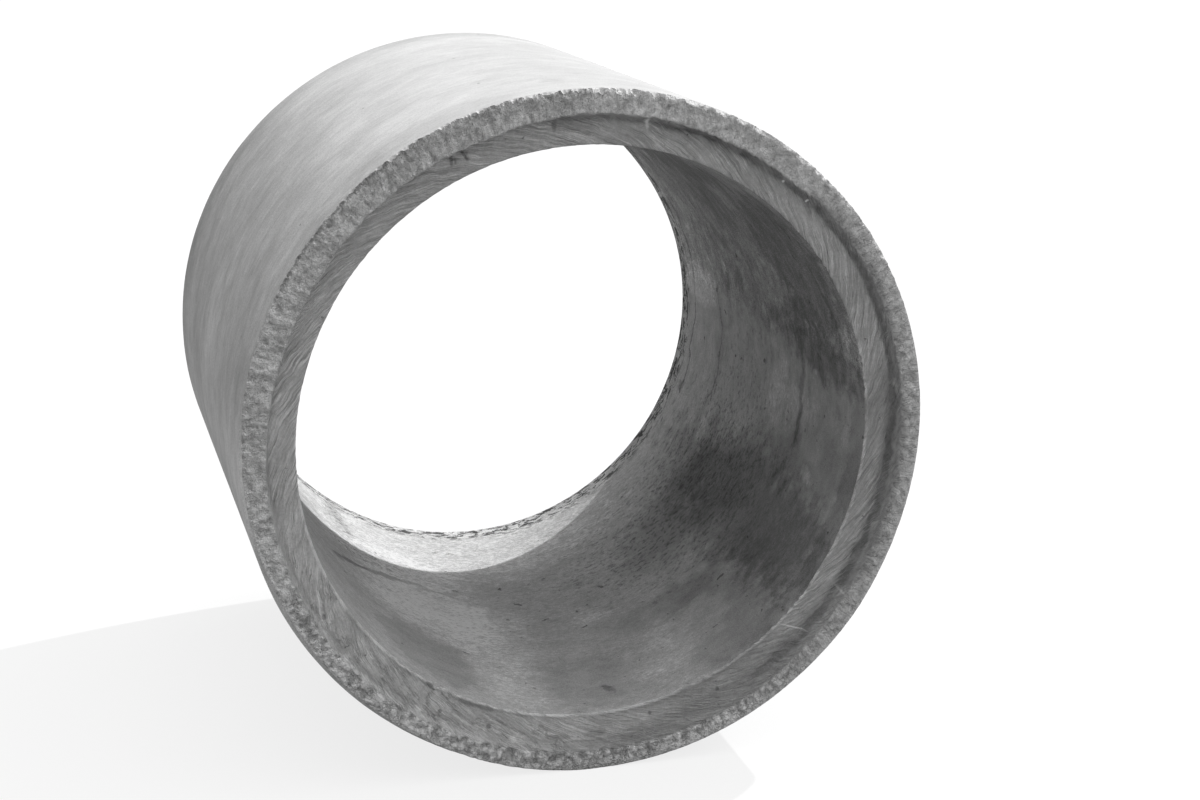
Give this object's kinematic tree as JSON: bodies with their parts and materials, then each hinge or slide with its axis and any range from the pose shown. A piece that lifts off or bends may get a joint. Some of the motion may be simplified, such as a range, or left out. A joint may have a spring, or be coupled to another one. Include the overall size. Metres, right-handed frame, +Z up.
{
  "type": "concrete sewer pipe",
  "caption": "Short round concrete pipe for a gravity sewer, with a groove at one end and a matching tongue at the other, lying on its side.",
  "frame": {"origin": "on the ground under the middle of the overall length", "axes": "+Y along the pipe from the groove end to the tongue end, +Z up, the pipe lying on its side"},
  "size_m": [1.0736, 1.02, 1.0736],
  "materials": {
    "cast_concrete": "dry pale grey cast concrete: smooth form finish outside, trowelled seat, rough end face, pitted bore"
  },
  "bodies": {
    "root": {"concrete_pipe": "cast_concrete"}
  },
  "joints": []
}
